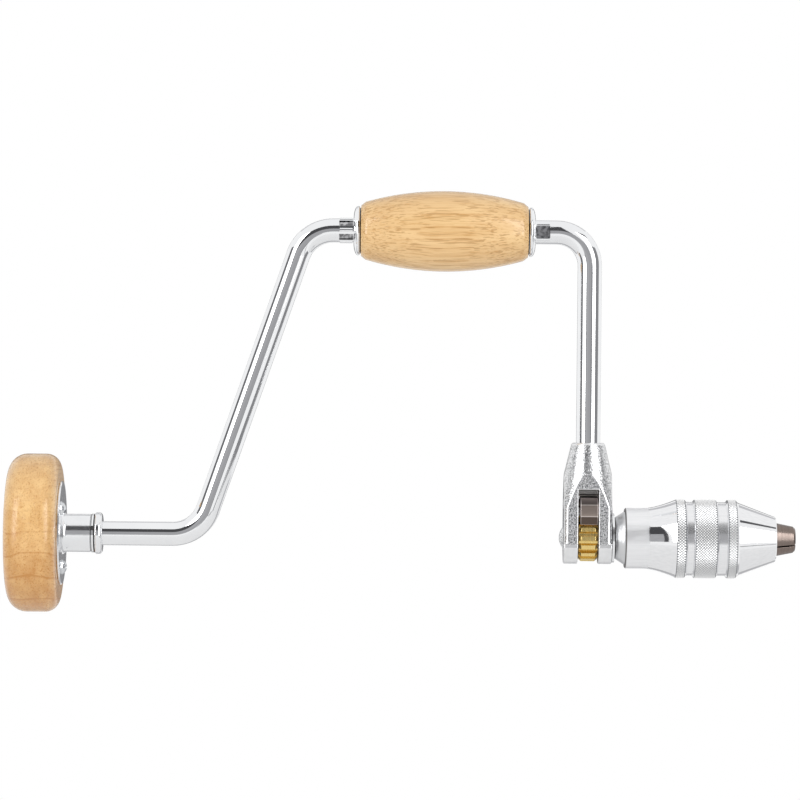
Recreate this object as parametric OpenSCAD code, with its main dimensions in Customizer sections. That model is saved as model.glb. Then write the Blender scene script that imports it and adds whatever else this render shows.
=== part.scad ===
// Ratchet brace: bent crank, turning head and grip, ratchet fork and two-jaw chuck.
// Frame: X along the main axis with the chuck at +X, Z up to the grip.
// The origin is the mouth of the jaws, on the main axis.

/* [Crank] */
// Diameter of the bent rod
rod_d = 12; // [10:0.1:14]
// Main axis to grip axis, half of the sweep
throw_r = 152.5; // [130:0.5:180]
// Along the grip axis, from the fork arm to the slanted arm's corner
top_run = 141.5; // [140:0.5:170]
// How far the slanted arm leans along the main axis
lean_run = 52.5; // [40:0.5:70]
// From the lower corner to the thrust collar
tail_run = 48.25; // [40:0.25:70]
// Bend radius at both ends of the slanted arm
bend_r_lean = 18.5; // [15:0.5:22]
// Bend radius at the fork arm
bend_r_fork = 16.5; // [14:0.5:19]
// Length of a staked place
stake_len = 7; // [5:0.1:8]
// Depth of a staked pocket
stake_depth = 1; // [0.9:0.05:1.2]
// How far a staked ear stands out
ear_h = 0.55; // [0.3:0.05:0.9]

/* [Grip] */
// Length of the wooden grip
grip_len = 83.5; // [70:0.5:86]
// Greatest diameter of the grip
grip_d = 40.2; // [34:0.1:48]
// Diameter of the grip at its ends
grip_end_d = 27.6; // [25:0.1:33]
// From the fork arm to the grip's near end
grip_from_arm = 31; // [28:0.5:32]
// End play between the grip and each cap
grip_play = 0.7; // [0.4:0.1:1]
// Diameter of the grip caps
cap_d = 24.6; // [20:0.1:28]
// Thickness of the grip caps
cap_t = 3; // [2:0.1:4]

/* [Head] */
// Diameter of the wooden head
head_d = 79; // [70:0.5:90]
// Thickness of the wooden head at its centre
head_t = 27; // [24:0.5:34]
// Rounding of the head's front rim
head_front_r = 9.5; // [7:0.5:12]
// Rounding of the head's back rim
head_back_r = 7; // [5:0.5:10]
// Rise of the head's domed front
head_dome = 1.2; // [1:0.1:4]
// Diameter of the head plate
plate_d = 52; // [46:0.5:58]
// Thickness of the head plate
plate_t = 1.2; // [1:0.1:2.5]
// Outer diameter of the neck
neck_d = 19; // [18:0.1:22]
// Length of the neck
neck_len = 14.5; // [10:0.1:20]
// Fillet between neck and plate
neck_fillet = 2.5; // [1:0.1:4]
// Thickness of the bush in the neck
bush_t = 1.4; // [1:0.1:1.6]
// Thickness of the race washer
race_t = 1.5; // [1:0.1:2.5]
// Diameter of the thrust collar
collar_d = 20.8; // [20:0.1:24]
// Thickness of the thrust collar
collar_t = 3.75; // [3.4:0.05:5]
// Diameter of a bearing ball
ball_d = 2.4; // [1.8:0.1:2.4]
// Number of bearing balls
ball_n = 12; // [8:1:14]
// Radius of the circle of screws
screw_ring_r = 17.5; // [16:0.1:20]
// Turn of the screws about the main axis
screw_turn = 45; // [0:1:119]
// Diameter of a screw head
screw_head_d = 7.6; // [6:0.1:9]
// Height of a screw head
screw_head_h = 2.6; // [1.8:0.1:3.5]
// Width of the slot in a screw head
screw_slot_w = 1.1; // [0.8:0.1:1.4]
// Diameter of a screw shank
screw_d = 4; // [3:0.1:5]
// Length of a screw under its head
screw_len = 13; // [8:0.5:15]
// Diameter of the tail stud
stud_d = 9.9; // [8:0.1:9.9]
// Thickness of the tail washer
tail_washer_t = 1.8; // [1:0.1:3]
// Diameter of the tail washer
tail_washer_d = 18; // [16:0.1:20]
// Tail nut across its flats
nut_af = 16; // [14:0.1:17]
// Height of the tail nut
nut_h = 7.5; // [5:0.1:8]

/* [Ratchet] */
// Width of the square ratchet body
fork_w = 24; // [23.8:0.1:28]
// Top of the ratchet body above the main axis
fork_h = 47.5; // [46:0.5:56]
// Bottom of the ratchet body below the main axis
fork_foot = 13; // [12.2:0.1:14]
// Diameter of the ratchet body's top
fork_top_d = 16.5; // [16:0.1:19]
// Slope of the conical top
fork_cone = 13.4; // [12:0.1:15]
// How far the upright corners are rounded off each face
fork_corner = 1.6; // [1:0.1:2.4]
// Where the rounded corners end, below the main axis
fork_ledge = 2.5; // [1.5:0.1:4]
// Width of the slot
slot_w = 10.2; // [10:0.1:11]
// Top of the slot above the main axis
slot_h = 24.2; // [23.5:0.1:26]
// How far the slot lies toward the chuck
slot_off = 0.1; // [0:0.05:0.8]
// Depth of the rod's socket
socket_depth = 15; // [12:0.1:16]
// Outer diameter of the ratchet wheel
wheel_d = 23.4; // [22:0.1:23.6]
// Width of the ratchet wheel
wheel_w = 9.5; // [8.5:0.1:9.6]
// Bevel at the ends of the teeth
wheel_bevel = 1.35; // [0.8:0.05:1.8]
// Number of teeth
teeth = 16; // [16:4:16]
// Depth of the teeth
tooth_depth = 2; // [1.6:0.1:2.2]
// Width of a tooth's land
tooth_land = 2.2; // [1.8:0.1:2.3]
// Width of a tooth gap at its root
root_gap = 1.3; // [1.1:0.1:1.6]
// Width of the spindle's square
square_w = 9.5; // [8.5:0.1:9.8]
// Diameter of the spindle in the far cheek
journal_d = 14; // [13.9:0.1:15]
// Height of the pawl's pivot
pivot_h = 17.2; // [17:0.1:17.8]
// Width of the pawl
pawl_w = 8.8; // [8.5:0.1:8.9]
// How far the pawl lies toward the chuck in its slot
pawl_off = 0.4; // [0:0.05:0.4]
// Rocking angle to each side
rock = 8; // [7.5:0.1:8.2]
// Radius of the pawl's hub
hub_r = 4; // [3.6:0.1:4.4]
// Diameter of the pawl pin
pawl_pin_d = 4.4; // [3.6:0.1:5]
// Diameter of the plunger
plunger_d = 4.8; // [4:0.1:5.2]
// Length of the plunger
plunger_len = 6.6; // [5.5:0.1:7]
// Thickness of the spindle washer
washer_t = 1.1; // [0.8:0.1:1.6]
// Diameter of the spindle washer
washer_d = 24.6; // [22:0.1:26]
// Diameter of the domed spindle screw
end_screw_d = 10.8; // [10:0.1:13]
// Height of the domed spindle screw
end_screw_h = 2; // [1.4:0.1:3]

/* [Chuck] */
// How far the jaws stand out of the shell
jaw_out = 9.75; // [7:0.05:12]
// Radius of the jaws at their tips
jaw_tip_r = 6.4; // [6:0.1:7]
// Taper of the jaws, radius for length
jaw_taper = 0.2; // [0.18:0.01:0.22]
// Length of the jaws' conical part
jaw_cone_len = 31; // [30:0.1:32]
// Length of the jaws' tongues
tongue_len = 18.4; // [16:0.1:19]
// Width of the jaws' tongues
tongue_w = 10; // [9:0.1:10.2]
// Gap between the jaws at rest
jaw_gap = 0.9; // [0.9:0.05:1.2]
// How far each jaw can still close
jaw_close = 0.4; // [0.2:0.05:0.4]
// Turn of the jaws about the main axis
jaw_turn = 27; // [0:1:90]
// Diameter of the round grip in the jaws
shank_d = 7.2; // [6:0.1:7.6]
// Depth of the round grip
shank_len = 14; // [10:0.1:16]
// Length of the nose cone
nose_len = 19.5; // [18:0.1:21]
// Diameter of the nose
nose_d = 22.2; // [21.8:0.1:24]
// Diameter of the nose cone at its back
nose_back_d = 36.5; // [35:0.1:37.5]
// Width of the front knurled band
band_front_w = 5.5; // [4:0.1:7]
// Width of the front groove
groove_front_w = 4.5; // [3:0.1:6]
// Width of the middle knurled band
band_mid_w = 12; // [10:0.1:14]
// Width of the back groove
groove_back_w = 3.5; // [3:0.1:5]
// Width of the back knurled band
band_back_w = 5.75; // [4:0.05:7]
// Length of the flare
flare_len = 14.75; // [12:0.05:16]
// Length of the straight back end
rear_len = 10; // [8:0.1:12]
// Diameter of the knurled bands
band_d = 38.7; // [38:0.1:41]
// Diameter of the grooves
groove_d = 36.8; // [36:0.1:37.5]
// Diameter of the shell's back end
rear_d = 30.2; // [29.6:0.1:32]
// Diameter of the chuck body's thread
thread_d = 25.84; // [25.4:0.02:26]
// Length of the spindle's shoulder
shoulder_len = 5; // [4:0.1:7]
// Diameter of the shoulder's small end
shoulder_d = 20.8; // [20:0.1:23]

/* [Clearances] */
// Between pieces that are fixed together
fit_gap = 0.05; // [0.02:0.01:0.08]
// Between round pieces that turn or slide
run_gap = 0.08; // [0.04:0.01:0.1]
// Between faces that pass each other
air_gap = 0.35; // [0.3:0.01:0.4]
// End play of the spindle, at each face
end_play = 0.2; // [0.15:0.01:0.3]

/* [Hidden] */
$fn = 96;
rod_r = rod_d / 2;

// chain of places along the main axis, from the jaws back
shell_front = -jaw_out;
band_front_x = shell_front - nose_len;
groove_front_x = band_front_x - band_front_w;
band_mid_x = groove_front_x - groove_front_w;
groove_back_x = band_mid_x - band_mid_w;
band_back_x = groove_back_x - groove_back_w;
flare_x = band_back_x - band_back_w;
rear_x = flare_x - flare_len;
shell_back = rear_x - rear_len;
flange_x = shell_back - shoulder_len;
washer_x = flange_x - end_play - washer_t;
fork_c = washer_x - end_play - fork_w / 2;
fork_left = fork_c - fork_w / 2;
fork_right = fork_c + fork_w / 2;
slot_c = fork_c + slot_off;
corner_top = fork_c - top_run;
corner_low = corner_top - lean_run;
collar_x = corner_low - tail_run;
collar_left = collar_x - collar_t;
race_x = collar_left - 0.15;
neck_x = race_x - race_t - fit_gap;
plate_x = neck_x - neck_len;
plate_back = plate_x - plate_t;
wood_back = plate_back - fit_gap;
wood_front = wood_back - head_t;
tail_x = plate_back - air_gap;
lean_deg = atan2(throw_r, lean_run);
lean_cut = bend_r_lean * tan(lean_deg / 2);

// roof of the ratchet slot: a web above the pawl's hub, with a pocket before and behind it
roof_h = pivot_h + hub_r + air_gap;
web_half = 4.5;

// jaws and what follows their cone
jaw_back = -jaw_cone_len;
ring_lap = 9;
ring_over = 0.9;
ring_wall = 1.6;
bore_step = 1.2;
ring_front = jaw_back + ring_lap;
ring_back = jaw_back - ring_over;
ring_r = jaw_r(jaw_back) + ring_wall;
shell_bore_r = ring_r + bore_step;
shell_thread_r = thread_d / 2 + run_gap;
prong_front = jaw_back - 0.3;
slot_end = jaw_back - tongue_len - 0.4;
function jaw_r(x) = jaw_tip_r - jaw_taper * x;
prong_r = jaw_r(jaw_back) - 0.5;
tongue_h = sqrt(pow(prong_r, 2) - pow(tongue_w / 2, 2));
// the spring between the jaws stands in a seat in each tongue
seat_in = 4;
seat_r = 2.7;
seat_play = 0.1;
coil_r = 2;
wire_r = 0.35;
seat_x = jaw_back - tongue_len * 0.62;

// points of an arc in a turned profile
function arc(c, r, a0, a1, n = 10) =
    [for (i = [0 : n]) [c[0] + r * cos(a0 + (a1 - a0) * i / n), c[1] + r * sin(a0 + (a1 - a0) * i / n)]];

// a profile of [radius, x] points turned about the main axis
module turn_x(points) {
    rotate([0, 90, 0]) rotate_extrude() polygon(points);
}

// a cylinder along X
module bar_x(x0, x1, r) {
    translate([x0, 0, 0]) rotate([0, 90, 0]) cylinder(h = x1 - x0, r = r);
}

// a quarter or part of a bend, in the plane of the crank
module bend(c, r, a0, a1) {
    translate([c[0], 0, c[1]]) rotate([90, 0, 0]) rotate([0, 0, a0])
        rotate_extrude(angle = a1 - a0) translate([r, 0]) circle(r = rod_r);
}

// a compression spring along Z, one unbroken tube
module coil(mean_r, wire_r, turns, h, sides = 6, per_turn = 14) {
    n = turns * per_turn;
    pitch = (h - 2 * wire_r) / turns;
    echo("least gap in coil", pitch - 2 * wire_r);
    slope = atan2(pitch, 2 * PI * mean_r);
    pts = [for (i = [0 : n]) let (a = 360 * i / per_turn, z = wire_r + pitch * i / per_turn)
        for (k = [0 : sides - 1]) let (b = 360 * k / sides, u = wire_r * cos(b), v = wire_r * sin(b))
            [(mean_r + u) * cos(a) + v * sin(slope) * sin(a),
             (mean_r + u) * sin(a) - v * sin(slope) * cos(a),
             z + v * cos(slope)]];
    skin = [for (i = [0 : n - 1]) for (k = [0 : sides - 1]) let (j = (k + 1) % sides)
        [i * sides + k, i * sides + j, (i + 1) * sides + j, (i + 1) * sides + k]];
    polyhedron(points = pts, faces = concat(
        [for (f = skin) [f[3], f[2], f[1], f[0]]],
        [[for (k = [0 : sides - 1]) k], [for (k = [0 : sides - 1]) n * sides + sides - 1 - k]]));
}

// Crank

// pockets pressed into the rod about a place on the grip axis
module stake_pockets(x, turns, w) {
    for (a = turns) translate([x, 0, throw_r]) rotate([a, 0, 0])
        translate([0, -rod_r, 0]) cube([stake_len, 2 * stake_depth, w], center = true);
}

// the raised ears beside the pockets
module stake_ears(x, turns) {
    for (a = turns) translate([x, 0, throw_r]) rotate([a, 0, 0])
        translate([-stake_len / 2 + 0.3, -rod_r + 0.6, 0]) rotate([0, 90, 0])
            cylinder(h = stake_len - 0.6, r = 0.6 + ear_h, $fn = 24);
}

// a cap's spigot reaches into a recess in the grip's end
spigot_r = min(cap_d, grip_end_d - 3) / 2 - 0.8;
spigot_in = 0.8;
cap_head_x = fork_c - grip_from_arm - grip_len - grip_play;
cap_chuck_x = fork_c - grip_from_arm + grip_play;
stake_head_c = cap_head_x - cap_t - 0.2 - stake_len / 2;
stake_chuck_c = cap_chuck_x + cap_t + 0.2 + stake_len / 2;
arm_foot = fork_h - socket_depth + fit_gap;

// the bent rod, joined piece by piece from the tail to the fork
module crank_rod() {
    union() {
        union() {
            union() {
                bar_x(tail_x, corner_low - lean_cut, rod_r);
                bar_x(tail_x - tail_washer_t - nut_h - 2, tail_x, stud_d / 2);
            }
            union() {
                bend([corner_low - lean_cut, bend_r_lean], bend_r_lean, -90, -90 + lean_deg);
                slanted_arm();
            }
        }
        union() {
            union() {
                bend([corner_top + lean_cut, throw_r - bend_r_lean], bend_r_lean, 90, 90 + lean_deg);
                top_rod();
            }
            union() {
                bend([fork_c - bend_r_fork, throw_r - bend_r_fork], bend_r_fork, 0, 90);
                translate([fork_c, 0, arm_foot]) cylinder(h = throw_r - bend_r_fork - arm_foot, r = rod_r);
            }
        }
    }
}

// the slanted straight part, a trace slimmer than the bends so that its ends sit inside them
module slanted_arm() {
    len = throw_r / sin(lean_deg);
    translate([corner_low, 0, 0]) rotate([0, 90 - lean_deg, 0])
        translate([0, 0, lean_cut - 0.5]) cylinder(h = len - 2 * lean_cut + 1, r = rod_r - 0.06);
}

// the straight part under the grip, with both staked places
module top_rod() {
    difference() {
        union() {
            translate([0, 0, throw_r]) bar_x(corner_top + lean_cut, fork_c - bend_r_fork, rod_r);
            stake_ears(stake_head_c, [0, 72, -72, 108, 180, -108]);
            stake_ears(stake_chuck_c, [38, -38, 142, -142]);
        }
        stake_pockets(stake_head_c, [36, -36, 144, -144], rod_d * 0.3);
        stake_pockets(stake_chuck_c, [0, 180], rod_d * 0.5);
    }
}

module crank_frame() {
    color("silver") crank_rod();
}

module thrust_collar() {
    track = ball_d / 2 + 0.06;
    mid = (rod_r + collar_d / 2) / 2 - 0.1;
    bx = race_x + 0.05 + ball_d / 2;
    edge = 1.1;
    color("silver") turn_x(concat(
        [[rod_r + fit_gap, collar_left], [mid - track, collar_left]],
        arc([mid, bx], track, 180, 0, 12),
        [[mid + track, collar_left]],
        arc([collar_d / 2 - edge, collar_left + edge], edge, -60, 0, 5),
        arc([collar_d / 2 - edge * 1.6, collar_x - edge * 1.6], edge * 1.6, 0, 90, 8),
        [[rod_r + fit_gap, collar_x]]));
}

module bearing_balls() {
    mid = (rod_r + collar_d / 2) / 2 - 0.1;
    color("gray") for (i = [0 : ball_n - 1]) rotate([360 * i / ball_n, 0, 0])
        translate([race_x + 0.05 + ball_d / 2, mid, 0]) sphere(d = ball_d);
}

module tail_washer() {
    color("gray") difference() {
        bar_x(tail_x - tail_washer_t, tail_x - fit_gap, tail_washer_d / 2);
        bar_x(tail_x - tail_washer_t - 1, tail_x + 1, stud_d / 2 + fit_gap);
    }
}

module tail_nut() {
    x1 = tail_x - tail_washer_t - fit_gap;
    color("gray") difference() {
        translate([x1 - nut_h, 0, 0]) rotate([0, 90, 0]) cylinder(h = nut_h, r = nut_af / sqrt(3), $fn = 6);
        bar_x(x1 - nut_h - 1, x1 + 1, stud_d / 2 + fit_gap);
    }
}

// a domed cap with its flat face at x = 0 and its dome toward +x
module cap() {
    r = cap_d / 2;
    turn_x(concat(
        [[rod_r + fit_gap, -grip_play - spigot_in], [spigot_r, -grip_play - spigot_in], [spigot_r, 0],
         [r - 0.4, 0], [r, 0.35], [r, 0.8]],
        [for (i = [1 : 10]) let (a = 90 * i / 10)
            [rod_r + 0.5 + (r - rod_r - 0.5) * cos(a), 0.8 + (cap_t - 0.8) * sin(a)]],
        [[rod_r + fit_gap, cap_t]]));
}

module grip_cap_head() {
    color("silver") translate([cap_head_x, 0, throw_r]) mirror([1, 0, 0]) cap();
}

module grip_cap_chuck() {
    color("silver") translate([cap_chuck_x, 0, throw_r]) cap();
}

module hand_grip() {
    x0 = fork_c - grip_from_arm - grip_len;
    rise = (grip_d - grip_end_d) / 2;
    big = (pow(grip_len / 2, 2) + pow(rise, 2)) / (2 * rise);
    half = asin(grip_len / 2 / big);
    edge = 1.2;
    color("burlywood") translate([x0 + grip_len / 2, 0, throw_r]) difference() {
        turn_x(concat(
            [[0, -grip_len / 2], [grip_end_d / 2 - edge, -grip_len / 2]],
            [for (i = [1 : 35]) let (a = -half + 2 * half * i / 36)
                [grip_d / 2 - big + big * cos(a), big * sin(a)]],
            [[grip_end_d / 2 - edge, grip_len / 2], [0, grip_len / 2]]));
        bar_x(-grip_len, grip_len, rod_r + run_gap);
        for (s = [-1, 1]) translate([s * grip_len / 2, 0, 0]) rotate([0, 90, 0])
            cylinder(h = 2 * (spigot_in + air_gap), r = spigot_r + air_gap, center = true);
    }
}

// Head

module head_knob() {
    r = head_d / 2;
    rim_x = wood_front + head_dome;
    fr = head_front_r;
    br = head_back_r;
    flat_r = r - fr;
    big = (pow(flat_r, 2) + pow(head_dome, 2)) / (2 * head_dome);
    half = asin(flat_r / big);
    color("burlywood") difference() {
        turn_x(concat(
            [for (i = [0 : 9]) let (a = half * i / 10) [big * sin(a), wood_front + big - big * cos(a)]],
            arc([flat_r, rim_x + fr], fr, -82, 0, 14),
            arc([r - br, wood_back - br], br, 0, 90, 14),
            [[0, wood_back]]));
        bar_x(tail_x - tail_washer_t - nut_h - 5, wood_back + 1, tail_washer_d / 2 + 2);
        screw_places() bar_x(plate_x - screw_len - 1, wood_back + 1, screw_d / 2 + fit_gap);
    }
}

module screw_places() {
    for (i = [0 : 2]) rotate([-(screw_turn + 120 * i), 0, 0]) translate([0, -screw_ring_r, 0]) children();
}

module head_plate() {
    bore = rod_r + bush_t + fit_gap;
    r = plate_d / 2;
    color("silver") difference() {
        turn_x(concat(
            [[bore, plate_back], [r - 0.3, plate_back], [r, plate_back + 0.3], [r, plate_x - 0.5],
             [r - 0.5, plate_x]],
            arc([neck_d / 2 + neck_fillet, plate_x + neck_fillet], neck_fillet, 270, 180, 8),
            [[neck_d / 2, neck_x - 0.4], [neck_d / 2 - 0.4, neck_x], [bore, neck_x]]));
        screw_places() bar_x(plate_back - 1, plate_x + 1, screw_d / 2 + fit_gap);
    }
}

module head_screws() {
    hr = screw_head_d / 2;
    ball = (pow(hr, 2) + pow(screw_head_h, 2)) / (2 * screw_head_h);
    half = asin(hr / ball);
    color("gray") screw_places() translate([plate_x + fit_gap, 0, 0]) difference() {
        turn_x(concat(
            [[0, -screw_len], [screw_d / 2 - 1.2, -screw_len + 1.5], [screw_d / 2, -screw_len + 4],
             [screw_d / 2, 0]],
            [for (i = [0 : 9]) let (a = half * (1 - i / 10)) [ball * sin(a), screw_head_h - ball + ball * cos(a)]],
            [[0, screw_head_h]]));
        translate([screw_head_h - 1.1, -screw_slot_w / 2, -screw_head_d])
            cube([screw_head_h, screw_slot_w, 2 * screw_head_d]);
    }
}

module neck_bush() {
    color("peru") difference() {
        bar_x(plate_back + 0.1, neck_x - 0.1, rod_r + bush_t);
        bar_x(plate_back - 1, neck_x + 1, rod_r + run_gap);
    }
}

module race_washer() {
    color("gray") difference() {
        bar_x(race_x - race_t, race_x, neck_d / 2 + 0.2);
        bar_x(race_x - race_t - 1, race_x + 1, rod_r + 0.3);
    }
}

// Ratchet

module ratchet_body() {
    half = fork_w / 2;
    top_r = fork_top_d / 2;
    corner_r = sqrt(pow(half, 2) + pow(half - fork_corner, 2));
    slope = tan(fork_cone);
    cone_z = fork_h - (corner_r - top_r) / slope;
    low = -fork_ledge - 0.1;
    color("lightgray") difference() {
        union() {
            intersection() {
                translate([fork_left, -half, low]) cube([fork_w, fork_w, fork_h - low]);
                translate([fork_c, 0, 0]) rotate_extrude() polygon([[0, low - 1], [corner_r, low - 1],
                    [corner_r, cone_z], [top_r + 0.8 * slope, fork_h - 0.8], [top_r - 0.6, fork_h], [0, fork_h]]);
            }
            intersection() {
                bar_x(fork_left, fork_right, fork_foot);
                translate([fork_left - 1, -half, -fork_w]) cube([fork_w + 2, fork_w, fork_w - fork_ledge]);
            }
        }
        translate([slot_c - slot_w / 2, 0, 0]) rotate([90, 0, 90]) linear_extrude(slot_w)
            polygon([[-fork_w, -fork_w], [fork_w, -fork_w], [fork_w, slot_h], [web_half, slot_h],
                [web_half, roof_h], [-web_half, roof_h], [-web_half, slot_h], [-fork_w, slot_h]]);
        translate([fork_c, 0, fork_h - socket_depth]) cylinder(h = socket_depth + 1, r = rod_r + fit_gap);
        translate([slot_c, 0, roof_h - 1]) cylinder(h = fork_h - socket_depth - roof_h + 2,
            r = plunger_d / 2 + run_gap);
        bar_x(fork_left - 1, slot_c, square_w / 2 + run_gap);
        bar_x(slot_c, fork_right + 1, journal_d / 2 + run_gap);
        translate([0, 0, pivot_h]) bar_x(fork_left - 1, fork_right + 1, pawl_pin_d / 2 + fit_gap);
    }
}

module pawl_pin() {
    color("gray") translate([0, 0, pivot_h]) bar_x(fork_left + 0.3, fork_right - 0.3, pawl_pin_d / 2);
}

// a place in the tooth gap that a finger enters, as [y, z] with the pawl at rest
gap_deg = 360 / teeth * 1.5;
function spot(r, off) = let (y = r * cos(gap_deg) - off * sin(gap_deg),
    z = r * sin(gap_deg) + off * cos(gap_deg) - pivot_h)
    [y * cos(rock) - z * sin(rock), y * sin(rock) + z * cos(rock) + pivot_h];

// the pawl's body seen along the main axis, relieved to clear the wheel
module pawl_body() {
    wr = wheel_d / 2;
    out = fork_w / 2 - 0.25;
    top = pivot_h + hub_r - 0.9;
    top_in = 2.15;
    difference() {
        union() {
            translate([0, pivot_h]) circle(r = hub_r);
            polygon([[-out, pivot_h - 0.5], [-out + top_in, top], [out - top_in, top], [out, pivot_h - 0.5],
                [out, wr - 0.9], [out - 0.7, wr - 2.6], [-out + 0.7, wr - 2.6], [-out, wr - 0.9]]);
        }
        for (s = [-1, 1]) translate([s * pivot_h * sin(rock), pivot_h * (1 - cos(rock))])
            circle(r = wr + air_gap);
    }
}

// the finger that enters a tooth gap when the pawl rocks
module pawl_finger() {
    wr = wheel_d / 2;
    out = fork_w / 2 - 0.25;
    polygon([[out, wr - 0.9], [out - 1.2, 7.4], spot(wr - tooth_depth + 0.5, -0.35),
        spot(wr - tooth_depth + 0.5, 0.4), spot(wr + 0.2, 0.85), spot(wr + 1.7, 1.25), [out - 2.2, wr + 0.8]]);
}

module pawl() {
    color("dimgray") difference() {
        translate([slot_c + pawl_off - pawl_w / 2, 0, 0]) rotate([90, 0, 90]) union() {
            linear_extrude(pawl_w) pawl_body();
            linear_extrude(pawl_w) pawl_finger();
            mirror([1, 0, 0]) linear_extrude(pawl_w) pawl_finger();
        }
        translate([0, 0, pivot_h]) bar_x(fork_left, fork_right, pawl_pin_d / 2 + run_gap);
    }
}

module detent_plunger() {
    z0 = pivot_h + hub_r + run_gap;
    r = plunger_d / 2;
    color("gray") translate([slot_c, 0, z0]) rotate_extrude() polygon(concat(
        [for (i = [0 : 8]) let (a = 80 * i / 8) [r * sin(a), r - r * cos(a)]],
        [[r, r], [r, plunger_len], [0, plunger_len]]));
}

module detent_spring() {
    z0 = pivot_h + hub_r + run_gap + plunger_len + fit_gap;
    color("gray") translate([slot_c, 0, z0])
        coil(plunger_d / 2 - 0.6, 0.3, 4, fork_h - socket_depth - z0 - 0.05);
}

function tooth(i) = let (wr = wheel_d / 2, rr = wr - tooth_depth, a = 360 / teeth * i,
    tip = asin(tooth_land / 2 / wr), root = 180 / teeth - asin(root_gap / 2 / rr))
    [[rr * cos(a - root), rr * sin(a - root)], [wr * cos(a - tip), wr * sin(a - tip)],
     [wr * cos(a + tip), wr * sin(a + tip)], [rr * cos(a + root), rr * sin(a + root)]];

module ratchet_wheel() {
    wr = wheel_d / 2;
    w = wheel_w / 2;
    b = wheel_bevel;
    color("goldenrod") difference() {
        intersection() {
            translate([slot_c - w, 0, 0]) rotate([90, 0, 90]) linear_extrude(wheel_w)
                polygon([for (i = [0 : teeth - 1]) for (p = tooth(i)) p]);
            translate([slot_c, 0, 0]) turn_x([[0, -w], [wr - b, -w], [wr + 0.05, -w + b + 0.05],
                [wr + 0.05, w - b - 0.05], [wr - b, w], [0, w]]);
        }
        translate([slot_c, 0, 0]) cube([wheel_w + 2, square_w + 2 * fit_gap, square_w + 2 * fit_gap], center = true);
    }
}

spindle_left = fork_left - end_play + fit_gap;

module spindle() {
    tr = thread_d / 2;
    shoulder_r = tr + 0.28;
    color("gray") difference() {
        union() {
            bar_x(spindle_left, slot_c, square_w / 2);
            translate([slot_c - slot_w / 2 + 0.1, -square_w / 2, -square_w / 2])
                cube([slot_w - 0.2, square_w, square_w]);
            turn_x([[0, slot_c + slot_w / 2 - 0.2], [journal_d / 2, slot_c + slot_w / 2 - 0.2],
                [journal_d / 2, flange_x], [shoulder_d / 2 - 0.4, flange_x], [shoulder_d / 2, flange_x + 0.4],
                [shoulder_r, shell_back - 0.25], [shoulder_r, shell_back + 0.9], [tr, shell_back + 0.9],
                [tr, slot_end - 2], [prong_r, slot_end - 1.5], [prong_r, prong_front - 0.5],
                [prong_r - 0.5, prong_front], [0, prong_front]]);
        }
        bar_x(spindle_left - 1, slot_c + 1.5, 3 + fit_gap);
        rotate([jaw_turn, 0, 0]) translate([slot_end, -tongue_w / 2 - run_gap, -ring_r])
            cube([prong_front - slot_end + 1, tongue_w + 2 * run_gap, 2 * ring_r]);
    }
}

module spindle_washer() {
    color("silver") difference() {
        bar_x(washer_x, washer_x + washer_t, washer_d / 2);
        bar_x(washer_x - 1, washer_x + washer_t + 1, journal_d / 2 + fit_gap);
    }
}

module spindle_screw() {
    r = end_screw_d / 2;
    ball = (pow(r, 2) + pow(end_screw_h, 2)) / (2 * end_screw_h);
    half = asin(r / ball);
    color("silver") translate([spindle_left - fit_gap, 0, 0]) mirror([1, 0, 0]) turn_x(concat(
        [[0, spindle_left - slot_c], [3, spindle_left - slot_c], [3, 0]],
        [for (i = [0 : 9]) let (a = half * (1 - i / 10)) [ball * sin(a), end_screw_h - ball + ball * cos(a)]],
        [[0, end_screw_h]]));
}

// Chuck

module taper_ring() {
    color("gray") turn_x([[jaw_r(ring_back) + run_gap, ring_back], [ring_r, ring_back], [ring_r, ring_front],
        [jaw_r(ring_front) + run_gap, ring_front]]);
}

module chuck_shell() {
    br = band_d / 2;
    gr = groove_d / 2;
    rr = rear_d / 2;
    c = 0.5;
    seat = ring_front + 0.15;
    color("gainsboro") turn_x(concat(
        [[shell_thread_r + 0.5, shell_back], [rr - c, shell_back], [rr, shell_back + c]],
        [for (i = [0 : 16]) let (t = i / 16) [rr + (br - rr) * pow(t, 1.5), rear_x + (flare_len + c) * t]],
        [[br, band_back_x - c], [gr, band_back_x + c * 0.4], [gr, groove_back_x - c * 0.4],
         [br, groove_back_x + c], [br, band_mid_x - c], [gr, band_mid_x + c * 0.4],
         [gr, groove_front_x - c * 0.4], [br, groove_front_x + c], [br, band_front_x - c],
         [nose_back_d / 2, band_front_x + c], [nose_d / 2 + 0.2, shell_front - c], [nose_d / 2 - 0.4, shell_front],
         [jaw_r(shell_front) + air_gap, shell_front], [jaw_r(seat) + air_gap, seat], [ring_r + run_gap, seat],
         [ring_r + run_gap, ring_back - 0.3], [shell_bore_r, ring_back - 0.3], [shell_bore_r, rear_x + 9],
         [shell_thread_r, rear_x + 7], [shell_thread_r, shell_back + 3.2], [shell_thread_r + 0.5, shell_back + 2.8]]));
}

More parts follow.
